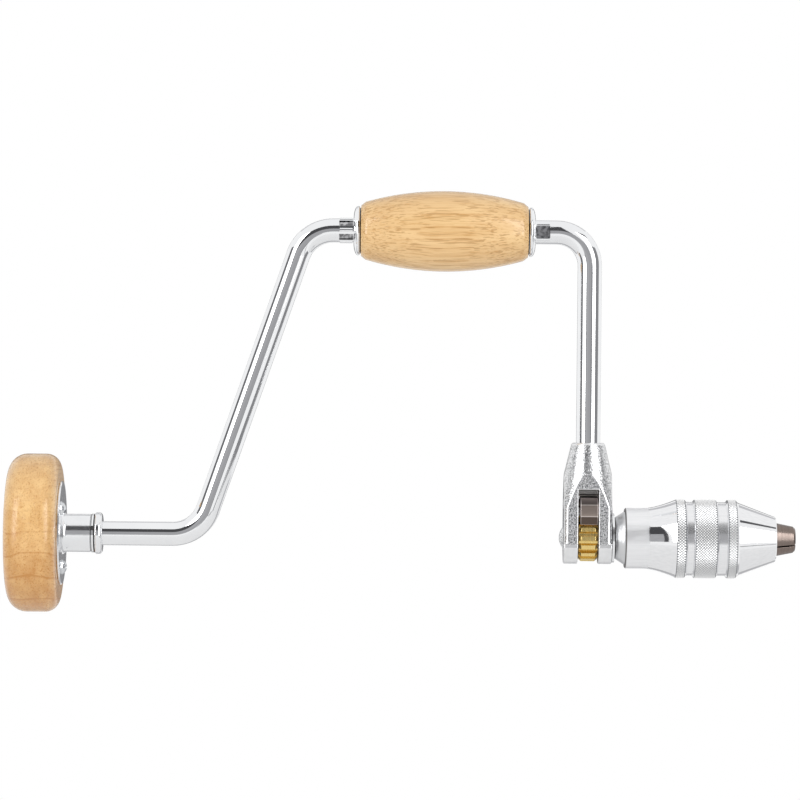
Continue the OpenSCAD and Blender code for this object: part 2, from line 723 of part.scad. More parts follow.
// one jaw on the +Z side, before it is turned into place; its cone is set off by the closing
// travel, so that it bears along its middle and stays clear of the ring at its sides
module jaw() {
    c = jaw_close;
    difference() {
        union() {
            intersection() {
                translate([0, 0, c]) turn_x([[0, jaw_back], [jaw_r(jaw_back) - c, jaw_back],
                    [jaw_r(-1.2) - c, -1.2], [jaw_tip_r - 0.8 - c, 0], [0, 0]]);
                translate([jaw_back - 1, -ring_r, jaw_gap / 2]) cube([jaw_cone_len + 2, 2 * ring_r, ring_r]);
            }
            translate([jaw_back - tongue_len, -tongue_w / 2, jaw_gap / 2])
                cube([tongue_len + 1, tongue_w, tongue_h - jaw_gap / 2]);
        }
        bar_x(-shank_len, 1, shank_d / 2);
        translate([jaw_back + 1, 0, 0]) rotate([0, 90, 0])
            cylinder(h = jaw_cone_len - 1 - shank_len, r1 = 3, r2 = shank_d / 2 * 1.42, $fn = 4);
        translate([seat_x, 0, 0]) cylinder(h = jaw_gap / 2 + seat_in, r = seat_r);
    }
}

module jaw_upper() {
    color("dimgray") rotate([jaw_turn, 0, 0]) jaw();
}

module jaw_lower() {
    color("dimgray") rotate([jaw_turn, 0, 0]) mirror([0, 0, 1]) jaw();
}

module jaw_spring() {
    h = jaw_gap + 2 * (seat_in - seat_play);
    color("gray") rotate([jaw_turn, 0, 0]) translate([seat_x, 0, -h / 2]) coil(coil_r, wire_r, 6, h);
}

head_knob();
head_plate();
head_screws();
neck_bush();
race_washer();
crank_frame();
thrust_collar();
bearing_balls();
tail_washer();
tail_nut();
grip_cap_head();
grip_cap_chuck();
hand_grip();
ratchet_body();
pawl_pin();
pawl();
detent_plunger();
detent_spring();
ratchet_wheel();
spindle();
spindle_washer();
spindle_screw();
taper_ring();
chuck_shell();
jaw_upper();
jaw_lower();
jaw_spring();
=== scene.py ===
# %% [markdown]
# # A ratchet brace, dressed around its CAD frame
# The imported CAD model gives every piece its place and its size in metres. This lesson adds what the
# solids leave out: finishes, softened edges, the knurl on the chuck, springs made again as coils, and a
# studio.
# The main axis of the brace is X, with the chuck at +X, and the grip stands above it along Z.

# %% Load the frame
import math

import bmesh
import bpy
from mathutils import Matrix, Vector


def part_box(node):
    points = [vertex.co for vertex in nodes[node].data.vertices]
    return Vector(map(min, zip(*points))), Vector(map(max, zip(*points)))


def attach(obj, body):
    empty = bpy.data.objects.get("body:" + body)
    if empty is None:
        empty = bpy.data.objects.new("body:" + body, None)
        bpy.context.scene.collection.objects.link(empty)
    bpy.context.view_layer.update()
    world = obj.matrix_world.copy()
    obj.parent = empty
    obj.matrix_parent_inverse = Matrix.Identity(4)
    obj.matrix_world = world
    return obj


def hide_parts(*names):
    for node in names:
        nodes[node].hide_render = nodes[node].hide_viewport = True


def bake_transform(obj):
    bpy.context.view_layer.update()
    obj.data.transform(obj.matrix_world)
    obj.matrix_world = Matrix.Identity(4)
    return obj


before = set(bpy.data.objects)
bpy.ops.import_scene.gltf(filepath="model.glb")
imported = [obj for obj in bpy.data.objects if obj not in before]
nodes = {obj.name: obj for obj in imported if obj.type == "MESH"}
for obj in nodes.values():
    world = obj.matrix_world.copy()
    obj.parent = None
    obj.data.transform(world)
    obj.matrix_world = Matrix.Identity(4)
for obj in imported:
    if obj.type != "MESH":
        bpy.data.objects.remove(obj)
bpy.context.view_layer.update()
MM = 0.001

# %% [markdown]
# ## Camera
# The photograph was taken square on, from far away, with a long lens, so the rods stay parallel. An
# orthographic camera would do that too, but it would show no perspective at all. Two pixels of the
# picture are one millimetre on the brace at a distance of two metres, and that settles the lens. The
# picture was not quite level, and a small roll of the camera repeats that.

# %% Place the camera
PIXELS_PER_MM = 2.0
PICTURE_PX = 800
CAMERA_DISTANCE = 2.0
SENSOR_MM = 36.0
LOOK_AT = Vector((-198.0 * MM, 0.0, 68.0 * MM))
ROLL_DEG = 0.55

scene = bpy.context.scene
camera_data = bpy.data.cameras.new("studio_camera")
camera_data.sensor_width = SENSOR_MM
camera_data.lens = PIXELS_PER_MM / MM * CAMERA_DISTANCE * SENSOR_MM / PICTURE_PX
camera_data.clip_start = 0.01
camera_data.clip_end = 50.0
camera = bpy.data.objects.new("studio_camera", camera_data)
scene.collection.objects.link(camera)
level = Matrix.Rotation(math.radians(90), 4, "X") @ Matrix.Rotation(math.radians(ROLL_DEG), 4, "Z")
camera.matrix_world = Matrix.Translation(LOOK_AT - Vector((0, CAMERA_DISTANCE, 0))) @ level
scene.camera = camera
print("lens in mm:", round(camera_data.lens, 1))

# %% [markdown]
# ## Three small tools
# Every finish is a tree of shader nodes, and every new piece is a bmesh that becomes an object. One
# function turns a colour written as sRGB hex into the linear values that shaders use. One adds a node
# with its settings and links. One makes an object of a finished bmesh and gives it its material.

# %% Define the tools


def colour(hex_code):
    parts = [int(hex_code[i:i + 2], 16) / 255 for i in (1, 3, 5)]
    linear = [p / 12.92 if p <= 0.04045 else ((p + 0.055) / 1.055) ** 2.4 for p in parts]
    return (*linear, 1.0)


def add(tree, kind, links=None, **settings):
    node = tree.nodes.new(kind)
    for name, value in settings.items():
        setattr(node, name, value)
    for socket, source in (links or {}).items():
        if isinstance(source, bpy.types.NodeSocket):
            tree.links.new(source, node.inputs[socket])
        else:
            node.inputs[socket].default_value = source
    return node


def object_of(work, name, finish):
    mesh = bpy.data.meshes.new(name)
    work.to_mesh(mesh)
    work.free()
    mesh.materials.append(finish)
    made = bpy.data.objects.new(name, mesh)
    scene.collection.objects.link(made)
    return made


print("mid grey in linear values:", [round(part, 3) for part in colour("#808080")])

# %% [markdown]
# ## A white tent
# Bright metal shows its surroundings, so a studio for it is a white tent with a few darker places. The
# world is white to the eye, to reflections and through glass, and weaker as light, so that pale
# surfaces keep their colour. Light Path tells these rays apart.

# %% Light the world
WORLD_LIGHT = 0.45

scene.view_settings.view_transform = "Standard"
world = bpy.data.worlds.new("white_tent")
world.use_nodes = True
scene.world = world
tent = world.node_tree
path = add(tent, "ShaderNodeLightPath")
seen = add(tent, "ShaderNodeMath", {0: path.outputs["Is Camera Ray"], 1: path.outputs["Is Glossy Ray"]},
           operation="MAXIMUM")
seen = add(tent, "ShaderNodeMath", {0: seen.outputs[0], 1: path.outputs["Is Transmission Ray"]},
           operation="MAXIMUM")
strength = add(tent, "ShaderNodeMapRange", {"Value": seen.outputs[0], "To Min": WORLD_LIGHT, "To Max": 1.0})
tent.links.new(strength.outputs[0], tent.nodes["Background"].inputs["Strength"])
tent.nodes["Background"].inputs["Color"].default_value = (1, 1, 1, 1)
print("world light:", WORLD_LIGHT)

# %% [markdown]
# ## Soft boxes
# Two tall soft boxes stand beside the camera. They give the lacquer its upright highlights and the rods
# their two white lines. A lamp's energy is worked out from how bright its face should look, so that its
# size can change without changing that.

# %% Stand the soft boxes
BOX_RADIANCE = 4.0
BOX_WIDTH = 0.9
BOX_HEIGHT = 2.1
BOX_DISTANCE = 2.2
BOX_ELEVATION_DEG = 16


def facing(azimuth, elevation, distance):
    a = math.radians(azimuth)
    e = math.radians(elevation)
    out = Vector((math.sin(a) * math.cos(e), -math.cos(a) * math.cos(e), math.sin(e)))
    turn = out.to_track_quat("Z", "Y").to_matrix().to_4x4()
    return Matrix.Translation(LOOK_AT + out * distance) @ turn


for name, azimuth in (("soft_box_left", -47), ("soft_box_right", 44)):
    lamp = bpy.data.lights.new(name, "AREA")
    lamp.shape = "RECTANGLE"
    lamp.size = BOX_WIDTH
    lamp.size_y = BOX_HEIGHT
    lamp.energy = BOX_RADIANCE * math.pi * BOX_WIDTH * BOX_HEIGHT
    box = bpy.data.objects.new(name, lamp)
    box.matrix_world = facing(azimuth, BOX_ELEVATION_DEG, BOX_DISTANCE)
    scene.collection.objects.link(box)
    print(name, "at azimuth", azimuth)

# %% [markdown]
# ## Cards for the reflections
# Grey cards, seen only in reflections, give the metal its lines: a grey room with dark borders and a
# dark ceiling round the camera, a low bench to its right, the gaps between soft boxes and backdrop, and
# the frame of the right soft box. Others behind the brace draw its edges, and give its back a line as
# well. Each card is written as its stretch across and upward, in metres, on a plane that faces the
# brace.

# %% Hang the cards
CARD_DISTANCE = 3.0
FLOOR_Z = -0.2


def card(name, pose, across, upward, grey):
    sheet = bmesh.new()
    bmesh.ops.create_grid(sheet, x_segments=1, y_segments=1, size=0.5)
    size = (across[1] - across[0], upward[1] - upward[0], 1)
    bmesh.ops.scale(sheet, vec=size, verts=sheet.verts)
    middle = Vector(((across[0] + across[1]) / 2, (upward[0] + upward[1]) / 2, 0))
    bmesh.ops.translate(sheet, vec=middle, verts=sheet.verts)
    bmesh.ops.transform(sheet, matrix=pose, verts=sheet.verts)
    paint = bpy.data.materials.new(name + "_cloth")
    paint.use_nodes = True
    tree = paint.node_tree
    tree.nodes.remove(tree.nodes["Principled BSDF"])
    glow = add(tree, "ShaderNodeEmission", {"Color": colour(grey), "Strength": 1.0})
    tree.links.new(glow.outputs[0], tree.nodes["Material Output"].inputs["Surface"])
    made = object_of(sheet, name, paint)
    made.visible_camera = False
    made.visible_diffuse = False
    made.visible_shadow = False


front = facing(0, 0, CARD_DISTANCE)
card("room_edge_left", front, (-2.0, -1.72), (-0.6, 0.9), "#505052")
card("dim_room", front, (-1.72, -0.45), (-0.6, 0.9), "#B0B0B2")
card("camera_corner", front, (-0.45, 0.235), (-0.6, 0.9), "#A8A8AA")
card("camera_side", front, (0.235, 0.92), (-0.85, 0.9), "#A8A8AA")
card("room_edge_right", front, (0.92, 1.1), (-0.85, 0.9), "#68686A")
card("dark_ceiling", front, (-2.0, 0.235), (0.9, 3.05), "#4C4C4E")
card("ceiling_edge", front, (0.235, 0.62), (0.9, 4.2), "#4C4C4E")
card("bench", front, (1.1, 2.0), (-0.07, 0.22), "#A0A0A2")
card("gap_left", facing(-81, 0, CARD_DISTANCE), (-0.58, 0.58), (-1.6, 1.6), "#6A6A6C")
card("gap_right", facing(78, 0, CARD_DISTANCE), (-0.95, 0.95), (-1.6, 1.6), "#8C8C8E")
card("frame_top", facing(60, 0, CARD_DISTANCE), (-0.9, 0.9), (2.75, 3.35), "#5E5E60")
card("frame_foot", facing(46, 0, CARD_DISTANCE), (-1.1, 1.1), (-1.06, -0.97), "#77777A")
card("back_room", facing(180, 0, CARD_DISTANCE), (-1.1, 1.1), (-0.6, 0.9), "#8A8A8C")
on_floor = Matrix.Translation((LOOK_AT.x, 0, FLOOR_Z + 2 * MM))
card("floor_behind", on_floor, (-0.5, 0.5), (0.2, 0.5), "#BCBCBE")
overhead = Matrix.Translation((LOOK_AT.x, 0, 1.0))
card("roof_behind", overhead, (-0.8, 0.8), (0.9, 1.7), "#CBCBCD")

# %% [markdown]
# ## Floor
# The brace hangs above a pale round floor. A plain lit floor would come out grey beside the white tent,
# so most of its look is plain white, and the rest is lit paint, which keeps a soft shadow.

# %% Lay the floor
FLOOR_RADIUS = 0.55
WHITE_SHARE_SEEN = 0.8
WHITE_SHARE_UNSEEN = 0.45
WHITE_STRENGTH = 1.1

pale = bpy.data.materials.new("pale_floor_paint")
pale.use_nodes = True
tree = pale.node_tree
paint = tree.nodes["Principled BSDF"]
paint.inputs["Base Color"].default_value = colour("#F4F4F4")
paint.inputs["Roughness"].default_value = 0.9
path = add(tree, "ShaderNodeLightPath")
share = add(tree, "ShaderNodeMapRange", {"Value": path.outputs["Is Camera Ray"],
                                         "To Min": WHITE_SHARE_UNSEEN, "To Max": WHITE_SHARE_SEEN})
white = add(tree, "ShaderNodeEmission", {"Color": (1, 1, 1, 1), "Strength": WHITE_STRENGTH})
both = add(tree, "ShaderNodeMixShader", {0: share.outputs[0], 1: paint.outputs[0], 2: white.outputs[0]})
tree.links.new(both.outputs[0], tree.nodes["Material Output"].inputs["Surface"])

ground = bmesh.new()
bmesh.ops.create_circle(ground, cap_ends=True, segments=96, radius=FLOOR_RADIUS)
bmesh.ops.translate(ground, vec=(LOOK_AT.x, 0, FLOOR_Z), verts=ground.verts)
object_of(ground, "floor", pale)
print("floor at", FLOOR_Z, "m")

# %% [markdown]
# ## Wood: the run of the grain
# Head and grip are turned from a pale ring-porous wood, such as ash or oak. A flat pattern wrapped
# round them would show a seam and no end grain, so the pattern is a solid one, in object coordinates,
# and runs through the piece as real grain does: the grip shows long grain, and the head's rim shows end
# grain. Here the coordinates become millimetres along and across the grain. A slow noise makes them
# wander, because no tree grows straight, and rings round a far pith give the growth layers.

# %% Lay the grain
WANDER_LENGTH_MM = 34
LAYER_STRETCH = 0.15
# a Wave texture of scale 1 repeats every 0.314 units
WAVE_REPEAT = 0.314


def finish_of(name):
    made = bpy.data.materials.new(name)
    made.use_nodes = True
    return made, made.node_tree, made.node_tree.nodes["Principled BSDF"]


def grain_run(tree, turn, wander_mm):
    place = add(tree, "ShaderNodeTexCoord")
    grain = add(tree, "ShaderNodeMapping", {"Vector": place.outputs["Object"], "Rotation": turn,
                                            "Scale": (1 / MM, 1 / MM, 1 / MM)})
    wander = add(tree, "ShaderNodeTexNoise", {"Vector": grain.outputs[0], "Scale": 1 / WANDER_LENGTH_MM,
                                              "Detail": 2.0})
    shift = add(tree, "ShaderNodeVectorMath", {0: wander.outputs["Color"], 1: (0.5, 0.5, 0.5)},
                operation="SUBTRACT")
    shift = add(tree, "ShaderNodeVectorMath", {0: shift.outputs[0], 1: (0.0, wander_mm, wander_mm)},
                operation="MULTIPLY")
    bent = add(tree, "ShaderNodeVectorMath", {0: grain.outputs[0], 1: shift.outputs[0]}, operation="ADD")
    return bent.outputs[0]


def growth_layers(tree, grain, pith, layer_mm):
    rings_at = add(tree, "ShaderNodeMapping", {"Vector": grain, "Location": pith,
                                               "Scale": (LAYER_STRETCH, 1.0, 1.0)})
    layers = add(tree, "ShaderNodeTexWave", {"Vector": rings_at.outputs[0], "Scale": WAVE_REPEAT / layer_mm,
                                             "Distortion": 1.4, "Detail": 2.0, "Detail Scale": 2.0},
                 wave_type="RINGS", rings_direction="X", wave_profile="SAW")
    return layers.outputs["Fac"]


print("grain wanders over", WANDER_LENGTH_MM, "mm")

# %% [markdown]
# ## Wood: tone
# Three things darken the wood: a thin line at the end of each growth layer, long streaks, and broad
# clouds. On the head the lines fade towards its upper half, and its lower half is deeper in colour.
# Real fibres are far finer than these streaks, which are drawn as coarse as they need to be to show.

# %% Tone the wood
STREAK_MM = (110, 0.8, 0.8)
CLOUD_MM = (55, 6, 6)
HEAD_TOP_MM = 15
LINES_FULL_MM = -10
DEEPEST_MM = -25


def per_length(sizes_mm):
    return tuple(1 / size for size in sizes_mm)


def streaks_along(tree, grain):
    streak_at = add(tree, "ShaderNodeVectorMath", {0: grain, 1: per_length(STREAK_MM)},
                    operation="MULTIPLY")
    streaks = add(tree, "ShaderNodeTexNoise", {"Vector": streak_at.outputs[0], "Scale": 1.0, "Detail": 4.0,
                                               "Roughness": 0.62})
    return streaks.outputs["Fac"]


def layer_lines(tree, height, layers, line_share):
    line = add(tree, "ShaderNodeMapRange", {"Value": layers, "From Min": 0.86, "From Max": 0.98,
                                            "To Max": line_share}, interpolation_type="SMOOTHSTEP")
    fade = add(tree, "ShaderNodeMapRange", {"Value": height, "From Min": HEAD_TOP_MM * MM,
                                            "From Max": LINES_FULL_MM * MM, "To Min": 0.3},
               interpolation_type="SMOOTHSTEP")
    line = add(tree, "ShaderNodeMath", {0: line.outputs[0], 1: fade.outputs[0]}, operation="MULTIPLY")
    return line.outputs[0]


def wood_tone(tree, grain, layers, streaks, line_share, low_share):
    place = add(tree, "ShaderNodeTexCoord")
    axes = add(tree, "ShaderNodeSeparateXYZ", {0: place.outputs["Object"]})
    line = layer_lines(tree, axes.outputs["Z"], layers, line_share)
    streak = add(tree, "ShaderNodeMapRange", {"Value": streaks, "From Min": 0.5, "From Max": 0.7,
                                              "To Max": 0.6}, interpolation_type="SMOOTHSTEP")
    broad_at = add(tree, "ShaderNodeVectorMath", {0: grain, 1: per_length(CLOUD_MM)}, operation="MULTIPLY")
    broad = add(tree, "ShaderNodeTexNoise", {"Vector": broad_at.outputs[0], "Scale": 1.0, "Detail": 2.0})
    cloud = add(tree, "ShaderNodeMapRange", {"Value": broad.outputs["Fac"], "From Min": 0.32,
                                             "From Max": 0.68, "To Max": 0.4})
    low = add(tree, "ShaderNodeMapRange", {"Value": axes.outputs["Z"], "From Min": HEAD_TOP_MM * MM,
                                           "From Max": DEEPEST_MM * MM, "To Max": low_share},
              interpolation_type="SMOOTHSTEP")
    cloud = add(tree, "ShaderNodeMath", {0: cloud.outputs[0], 1: low.outputs[0]}, operation="ADD")
    tone = add(tree, "ShaderNodeMath", {0: streak.outputs[0], 1: cloud.outputs[0]}, operation="ADD")
    tone = add(tree, "ShaderNodeMath", {0: tone.outputs[0], 1: line}, operation="ADD", use_clamp=True)
    return tone.outputs[0]


print("streak and cloud sizes in mm:", STREAK_MM, CLOUD_MM)

# %% [markdown]
# ## Wood: pores
# Pores are short dark dashes along the grain, and crowd in each layer's early wood. Noise that is
# stretched along the grain gives the dashes, and the growth layers move the level above which it counts
# as a pore. A real pore is about a third of a millimetre wide, and is drawn as coarse as it needs to be
# to show.

# %% Open the pores
PORE_MM = (26, 0.66, 0.66)
PORE_COLOUR = "#B88A50"


def wood_pores(tree, grain, layers, pore_share):
    pore_at = add(tree, "ShaderNodeVectorMath", {0: grain, 1: per_length(PORE_MM)}, operation="MULTIPLY")
    pores = add(tree, "ShaderNodeTexNoise", {"Vector": pore_at.outputs[0], "Scale": 1.0, "Detail": 1.0})
    early = add(tree, "ShaderNodeMapRange", {"Value": layers, "From Max": 0.8, "To Min": 0.6,
                                             "To Max": 0.52})
    late = add(tree, "ShaderNodeMath", {0: early.outputs[0], 1: 0.08}, operation="ADD")
    dots = add(tree, "ShaderNodeMapRange", {"Value": pores.outputs["Fac"], "From Min": early.outputs[0],
                                            "From Max": late.outputs[0]}, interpolation_type="SMOOTHSTEP")
    dark = add(tree, "ShaderNodeMath", {0: dots.outputs[0], 1: pore_share}, operation="MULTIPLY")
    return dark.outputs[0]


print("pore size in mm:", PORE_MM)

# %% [markdown]
# ## Wood: lacquer
# Both pieces are sanded and lacquered, so the eye sees soft upright highlights over a satin ground. The
# coat of the shader is that lacquer. It sinks into the pores a little and ripples with the grain, more
# on the head's end grain, which drinks more of it.

# %% Lacquer the wood
RIPPLE_WIDTH_MM = 1.6


def wood(name, turn, pith, pale_hex, deep_hex, layer_mm, line_share, pore_share, low_share, ripple_mm,
         wander_mm, gloss):
    made, tree, skin = finish_of(name)
    grain = grain_run(tree, turn, wander_mm)
    layers = growth_layers(tree, grain, pith, layer_mm)
    streaks = streaks_along(tree, grain)
    tone = wood_tone(tree, grain, layers, streaks, line_share, low_share)
    dark = wood_pores(tree, grain, layers, pore_share)
    body = add(tree, "ShaderNodeMix", {0: tone, 6: colour(pale_hex), 7: colour(deep_hex)},
               data_type="RGBA")
    skin_colour = add(tree, "ShaderNodeMix", {0: dark, 6: body.outputs[2], 7: colour(PORE_COLOUR)},
                      data_type="RGBA")
    tree.links.new(skin_colour.outputs[2], skin.inputs["Base Color"])

    waves = add(tree, "ShaderNodeTexNoise", {"Vector": grain, "Scale": 1 / RIPPLE_WIDTH_MM, "Detail": 2.0})
    height = add(tree, "ShaderNodeMath", {0: waves.outputs["Fac"], 1: dark}, operation="SUBTRACT")
    dents = add(tree, "ShaderNodeBump", {"Height": height.outputs[0], "Strength": 0.5,
                                         "Distance": ripple_mm * MM})
    tree.links.new(dents.outputs[0], skin.inputs["Normal"])
    tree.links.new(dents.outputs[0], skin.inputs["Coat Normal"])
    dull = add(tree, "ShaderNodeMapRange", {"Value": streaks, "To Min": 0.42, "To Max": 0.55})
    tree.links.new(dull.outputs[0], skin.inputs["Roughness"])
    skin.inputs["Specular IOR Level"].default_value = 0.25
    skin.inputs["Coat Weight"].default_value = 0.85
    skin.inputs["Coat Roughness"].default_value = gloss
    return made


# long grain: straw yellow with fine brown dashes along the grip
grip_wood = wood("lacquered_ash_long_grain", turn=(0.0, 0.0, 0.0), pith=(0.0, 30.0, -120.0),
                 pale_hex="#F2CC94", deep_hex="#CB9858", layer_mm=6.0, line_share=0.5, pore_share=0.65,
                 low_share=0.0, ripple_mm=0.06, wander_mm=2.5, gloss=0.16)
# end grain: honey yellow with dots, and a few thin brown lines across the rim
head_wood = wood("lacquered_ash_cross_grain", turn=(0.0, 0.0, math.radians(90)), pith=(0.0, 380.0, 130.0),
                 pale_hex="#F2C88A", deep_hex="#C48844", layer_mm=11.0, line_share=0.36, pore_share=0.2,
                 low_share=0.5, ripple_mm=0.35, wander_mm=9.0, gloss=0.14)
print("wood:", grip_wood.name, head_wood.name)

# %% [markdown]
# ## Plated and plain steel
# Chromium, zinc, oxide and bare steel all mirror the tent, and differ in colour and in how sharp the
# mirror is. A cloud 9 mm wide varies both a little, as handling does. Some pieces get a black painted
# shade where they meet another: the caps where they face the wood, and the spindle's shoulder at the
# fork. A mask along X paints such a zone as that shade.

# %% Plate the steel
HANDLING_MM = 9
JOINT_SHADE = "#2C2826"


def clouded(tree, skin, pale_hex, deep_hex, smooth, rough):
    place = add(tree, "ShaderNodeTexCoord")
    cloud = add(tree, "ShaderNodeTexNoise", {"Vector": place.outputs["Object"],
                                             "Scale": 1 / (HANDLING_MM * MM), "Detail": 3.0})
    tint = add(tree, "ShaderNodeMix", {0: cloud.outputs["Fac"], 6: colour(pale_hex), 7: colour(deep_hex)},
               data_type="RGBA")
    haze = add(tree, "ShaderNodeMapRange", {"Value": cloud.outputs["Fac"], "From Min": 0.3, "From Max": 0.7,
                                            "To Min": smooth, "To Max": rough})
    tree.links.new(haze.outputs[0], skin.inputs["Roughness"])
    skin.inputs["Metallic"].default_value = 1.0
    return tint.outputs[2]


def plated(name, pale_hex, deep_hex, smooth, rough, shaded_zone=None):
    made, tree, skin = finish_of(name)
    tint = clouded(tree, skin, pale_hex, deep_hex, smooth, rough)
    if shaded_zone:
        middle, half = shaded_zone
        place = add(tree, "ShaderNodeTexCoord")
        axes = add(tree, "ShaderNodeSeparateXYZ", {0: place.outputs["Object"]})
        # painted shade: the zone along X is painted black
        zone = add(tree, "ShaderNodeMath", {0: axes.outputs["X"], 1: middle, 2: half}, operation="COMPARE")
        mixed = add(tree, "ShaderNodeMix", {0: zone.outputs[0], 6: tint, 7: colour(JOINT_SHADE)},
                    data_type="RGBA")
        tint = mixed.outputs[2]
    tree.links.new(tint, skin.inputs["Base Color"])
    return made


print("handling clouds are", HANDLING_MM, "mm wide")

# %% [markdown]
# ### The plated pieces
# The grip's box gives the middle of the rod's upper run. Whatever of a cap lies nearer to that middle
# than just past the wood's end is its inner face, which gets the painted shade. The spindle's painted
# shade is a narrow ring at the small end of its shoulder.

# %% Mix the plates
CAP_REACH_MM = 0.6
SHOULDER_END_MM = -90.1
SHOULDER_RING_MM = 0.25

grip_low, grip_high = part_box("hand_grip")
grip_middle = (grip_low + grip_high) / 2
cap_shade_zone = (grip_middle.x, (grip_high.x - grip_low.x) / 2 + CAP_REACH_MM * MM)
shoulder_shade_zone = (SHOULDER_END_MM * MM, SHOULDER_RING_MM * MM)
# bright chromium: a sharp, white mirror
chrome = plated("chromed_steel_bright", "#F3F4F5", "#E9EAEC", 0.04, 0.08)
# the same, rubbed by the hand that holds the neck: the mirror's lines go soft
neck_chrome = plated("chromed_steel_rubbed", "#F2F3F4", "#E6E7E9", 0.13, 0.2)
# chromium on a pressed cap: a mirror with slight waves, with a black painted shade where it meets the wood
capped = plated("chromed_steel_cap", "#F3F4F5", "#E9EAEC", 0.05, 0.1, cap_shade_zone)
# turned and left bare: a soft grey sheen, with a ring of black painted shade at the shoulder's small end
satin = plated("satin_steel", "#DADBDC", "#C6C7C9", 0.26, 0.36, shoulder_shade_zone)
# zinc: a bluish mirror, slightly dull
zinc = plated("zinc_plated_steel", "#E2E4E6", "#CDD0D3", 0.12, 0.22)
# oxide worn off an edge, with a painted highlight: a pale, warm line
worn_edge_and_highlight = plated("oxide_edge_worn_and_painted_highlight", "#E4DAD6", "#CFC5C0", 0.25, 0.35)
# painted shade in the seams of the bearing's washer: a thin dark line
seam_shade_line = plated("dark_painted_seam_shade", "#4A4644", "#3C3836", 0.4, 0.5)
print("grip middle in mm:", round(grip_middle.x / MM, 2), round(grip_middle.z / MM, 2))

# %% [markdown]
# ## The rod and its staked pockets
# The rod is chromed like the caps. Beside each cap, pockets are pressed into it to keep the cap in
# place, and their floors get a painted shade, dark and mottled. They are found by depth: on the straight
# run about the grip's axis, whatever lies nearer to that axis than the rod's skin is a pocket.

# %% Chrome the rod
ROD_RADIUS_MM = 6.0
POCKET_SHALLOWEST_MM = 0.08
STRAIGHT_HALF_MM = 55.5
MOTTLE_MM = 1.8


def pocket_floors(tree, place):
    axes = add(tree, "ShaderNodeSeparateXYZ", {0: place})
    straight = add(tree, "ShaderNodeMath", {0: axes.outputs["X"], 1: grip_middle.x,
                                            2: STRAIGHT_HALF_MM * MM}, operation="COMPARE")
    from_axis = add(tree, "ShaderNodeVectorMath", {0: place, 1: (0.0, 0.0, grip_middle.z)},
                    operation="SUBTRACT")
    from_axis = add(tree, "ShaderNodeVectorMath", {0: from_axis.outputs[0], 1: (0.0, 1.0, 1.0)},
                    operation="MULTIPLY")
    radius = add(tree, "ShaderNodeVectorMath", {0: from_axis.outputs[0]}, operation="LENGTH")
    floor_radius = (ROD_RADIUS_MM - POCKET_SHALLOWEST_MM) * MM
    deep = add(tree, "ShaderNodeMath", {0: radius.outputs["Value"], 1: floor_radius}, operation="LESS_THAN")
    pressed = add(tree, "ShaderNodeMath", {0: deep.outputs[0], 1: straight.outputs[0]},
                  operation="MULTIPLY")
    return pressed.outputs[0]


def staked_rod(name):
    made, tree, skin = finish_of(name)
    plate = clouded(tree, skin, "#F3F4F5", "#E9EAEC", 0.04, 0.08)
    place = add(tree, "ShaderNodeTexCoord").outputs["Object"]
    marks = add(tree, "ShaderNodeTexNoise", {"Vector": place, "Scale": 1 / (MOTTLE_MM * MM), "Detail": 2.0})
    mottle = add(tree, "ShaderNodeMapRange", {"Value": marks.outputs["Fac"], "From Min": 0.38,
                                              "From Max": 0.62})
    # painted shade: the pockets' floors are painted dark and mottled
    pocket_shade = add(tree, "ShaderNodeMix", {0: mottle.outputs[0], 6: colour("#6E6E70"), 7: colour("#C4C4C6")},
                data_type="RGBA")
    tint = add(tree, "ShaderNodeMix", {0: pocket_floors(tree, place), 6: plate, 7: pocket_shade.outputs[2]},
               data_type="RGBA")
    tree.links.new(tint.outputs[2], skin.inputs["Base Color"])
    return made


# bright chromium with grey, mottled painted shade in its pockets
rod_chrome = staked_rod("chromed_steel_staked_rod")
print("rod:", rod_chrome.name)

# %% [markdown]
# ## Turned metals
# Jaws and wheel were cut on a lathe, which leaves faint rings across X. Noise that is stretched round
# the axis gives these rings to colour, haze and a shallow bump. Real tool marks are a tenth of a
# millimetre apart, and are drawn as coarse as they need to be to show.

# %% Turn the jaws and the wheel
ROUND_THE_AXIS_MM = 60


def turned(name, pale_hex, deep_hex, smooth, rough, line_mm, depth_mm):
    made, tree, skin = finish_of(name)
    place = add(tree, "ShaderNodeTexCoord")
    across = 1 / (line_mm * MM)
    around = 1 / (ROUND_THE_AXIS_MM * MM)
    lines_at = add(tree, "ShaderNodeVectorMath", {0: place.outputs["Object"], 1: (across, around, around)},
                   operation="MULTIPLY")
    lines = add(tree, "ShaderNodeTexNoise", {"Vector": lines_at.outputs[0], "Scale": 1.0, "Detail": 2.0})
    tint = add(tree, "ShaderNodeMix", {0: lines.outputs["Fac"], 6: colour(pale_hex), 7: colour(deep_hex)},
               data_type="RGBA")
    tree.links.new(tint.outputs[2], skin.inputs["Base Color"])
    haze = add(tree, "ShaderNodeMapRange", {"Value": lines.outputs["Fac"], "From Min": 0.3, "From Max": 0.7,
                                            "To Min": smooth, "To Max": rough})
    tree.links.new(haze.outputs[0], skin.inputs["Roughness"])
    ripple = add(tree, "ShaderNodeBump", {"Height": lines.outputs["Fac"], "Strength": 0.3,
                                          "Distance": depth_mm * MM})
    tree.links.new(ripple.outputs[0], skin.inputs["Normal"])
    skin.inputs["Metallic"].default_value = 1.0
    return made


# oxide-finished steel: a warm dark grey with a soft sheen
oxide = turned("oxide_finished_steel", "#8A7D77", "#6E635D", 0.24, 0.34, line_mm=1.5, depth_mm=0.015)
# machined brass: yellow, with bright and brown lines between its teeth
brass = turned("machined_brass", "#F2DC9C", "#DDBB6A", 0.2, 0.32, line_mm=0.7, depth_mm=0.02)
print("turned:", oxide.name, brass.name)
